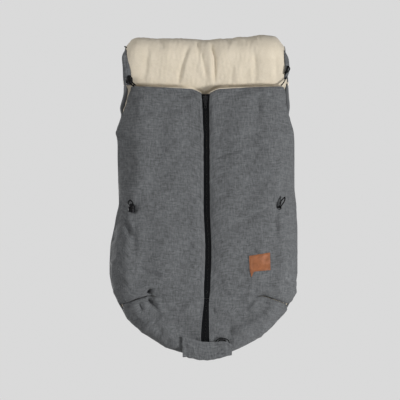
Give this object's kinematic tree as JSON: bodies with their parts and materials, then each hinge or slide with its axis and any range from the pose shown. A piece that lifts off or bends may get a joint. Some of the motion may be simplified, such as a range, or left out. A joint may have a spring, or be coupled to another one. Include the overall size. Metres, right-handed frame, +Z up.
{
  "type": "stroller footmuff",
  "caption": "Padded zip-front footmuff with fleece lining, folded hood, cord locks and a round foot pocket, hung by its hood.",
  "frame": {"origin": "middle of the saddle of the folded hood, on the axis of the rail it hangs over", "axes": "+Z up along the hanging bag, +X to the right of someone facing its front, +Y from the front to the back"},
  "size_m": [0.475, 0.1848, 0.8094],
  "materials": {
    "shell_cloth": "grey melange twill, matte",
    "fleece": "cream brushed fleece",
    "wadding": "white polyester wadding",
    "zip_tape": "black woven tape",
    "zip_teeth": "black moulded teeth",
    "slider_metal": "gunmetal plated",
    "elastic": "black braided elastic",
    "lock_plastic": "black glossy moulding",
    "eyelet_metal": "gunmetal eyelet",
    "spring_steel": "bright spring wire",
    "leather": "tan grained leather",
    "hook_and_loop": "black hook and loop tape",
    "pad_rubber": "dotted anti-slip pad"
  },
  "bodies": {
    "bag": {"back_shell": "shell_cloth", "back_wadding": "wadding", "back_lining": "fleece", "hood_saddle_shell": "shell_cloth", "hood_saddle_wadding": "wadding", "hood_saddle_lining": "fleece", "foot_shell": "shell_cloth", "foot_wadding": "wadding", "foot_lining": "fleece", "side_shell_left": "shell_cloth", "side_shell_right": "shell_cloth", "side_wadding_left": "wadding", "side_wadding_right": "wadding", "side_lining_left": "fleece", "side_lining_right": "fleece", "foot_teeth_left": "zip_teeth", "hood_casing_left": "shell_cloth", "waist_eyelet_left": "eyelet_metal", "waist_elastic_left": "elastic", "hood_eyelet_left": "eyelet_metal", "hood_elastic_left": "elastic", "foot_teeth_right": "zip_teeth", "hood_casing_right": "shell_cloth", "waist_eyelet_right": "eyelet_metal", "waist_elastic_right": "elastic", "hood_eyelet_right": "eyelet_metal", "hood_elastic_right": "elastic", "foot_tape": "zip_tape", "zip_bottom_stop": "slider_metal", "flap_loop_patch": "hook_and_loop", "leather_patch": "leather", "anti_slip_pad": "pad_rubber"},
    "lapel_left": {"lapel_shell_left": "shell_cloth", "lapel_wadding_left": "wadding", "lapel_lining_left": "fleece", "zip_tape_left": "zip_tape", "zip_teeth_left": "zip_teeth"},
    "lapel_right": {"lapel_shell_right": "shell_cloth", "lapel_wadding_right": "wadding", "lapel_lining_right": "fleece", "zip_tape_right": "zip_tape", "zip_teeth_right": "zip_teeth"},
    "upper_slider": {"upper_slider": "slider_metal"},
    "upper_puller": {"upper_puller": "slider_metal"},
    "lower_slider": {"lower_slider": "lock_plastic", "lower_cord_pull": "elastic"},
    "foot_flap": {"foot_flap": "shell_cloth", "flap_hook_patch": "hook_and_loop"},
    "hood_tail": {"hood_tail_shell": "shell_cloth", "hood_tail_wadding": "wadding", "hood_tail_lining": "fleece"},
    "waist_lock": {"lock_body_waist": "lock_plastic", "lock_spring_waist": "spring_steel"},
    "waist_plunger": {"lock_plunger_waist": "lock_plastic"},
    "hood_lock_left": {"lock_body_hood_left": "lock_plastic", "lock_spring_hood_left": "spring_steel"},
    "hood_plunger_left": {"lock_plunger_hood_left": "lock_plastic"},
    "hood_lock_right": {"lock_body_hood_right": "lock_plastic", "lock_spring_hood_right": "spring_steel"},
    "hood_plunger_right": {"lock_plunger_hood_right": "lock_plastic"}
  },
  "joints": [
    {"name": "lapel_left_fold", "type": "hinge", "parent": "bag", "child": "lapel_left", "pos_m": [-0.0105, -0.1195, -0.60341], "axis": [0.247, -0.092, -0.9646], "range_deg": [0, 150], "deforming": ["zip_tape_left", "zip_teeth_left"]},
    {"name": "lapel_right_fold", "type": "hinge", "parent": "bag", "child": "lapel_right", "pos_m": [0.0105, -0.1195, -0.60341], "axis": [0.247, 0.092, 0.9646], "range_deg": [0, 150], "deforming": ["zip_tape_right", "zip_teeth_right"]},
    {"name": "upper_zip_slide", "type": "slide", "parent": "lapel_right", "child": "upper_slider", "axis": [0, -0.0949, -0.9955], "range_m": [0, 0.465], "deforming": ["zip_teeth_left", "zip_teeth_right"]},
    {"name": "upper_puller_swing", "type": "hinge", "parent": "upper_slider", "child": "upper_puller", "pos_m": [0, -0.07362, -0.10737], "axis": [1, 0, 0], "range_deg": [-115, 0]},
    {"name": "lower_zip_slide", "type": "slide", "parent": "bag", "child": "lower_slider", "axis": [0, -0.2136, 0.9769], "range_m": [0, 0.1], "deforming": ["foot_teeth_left", "foot_teeth_right"]},
    {"name": "foot_flap_swing", "type": "hinge", "parent": "bag", "child": "foot_flap", "pos_m": [0.003, -0.045, -0.7579], "axis": [1, 0, 0], "range_deg": [0, 100]},
    {"name": "hood_unfold", "type": "hinge", "parent": "bag", "child": "hood_tail", "pos_m": [0, 0, 0], "axis": [1, 0, 0], "range_deg": [0, 90], "deforming": ["hood_saddle_shell", "hood_saddle_wadding", "hood_saddle_lining"]},
    {"name": "waist_lock_slide", "type": "slide", "parent": "bag", "child": "waist_lock", "axis": [0, -1, 0], "range_m": [0, 0.008]},
    {"name": "waist_plunger_press", "type": "slide", "parent": "waist_lock", "child": "waist_plunger", "axis": [0, 0, -1], "range_m": [0, 0.0035], "stiffness_N_per_m": 500, "deforming": ["lock_spring_waist"]},
    {"name": "hood_left_lock_slide", "type": "slide", "parent": "bag", "child": "hood_lock_left", "axis": [0, -1, 0], "range_m": [0, 0.008]},
    {"name": "hood_left_plunger_press", "type": "slide", "parent": "hood_lock_left", "child": "hood_plunger_left", "axis": [0, 0, -1], "range_m": [0, 0.0035], "stiffness_N_per_m": 500, "deforming": ["lock_spring_hood_left"]},
    {"name": "hood_right_lock_slide", "type": "slide", "parent": "bag", "child": "hood_lock_right", "axis": [0, 1, 0], "range_m": [0, 0.008]},
    {"name": "hood_right_plunger_press", "type": "slide", "parent": "hood_lock_right", "child": "hood_plunger_right", "axis": [0, 0, -1], "range_m": [0, 0.0035], "stiffness_N_per_m": 500, "deforming": ["lock_spring_hood_right"]}
  ]
}
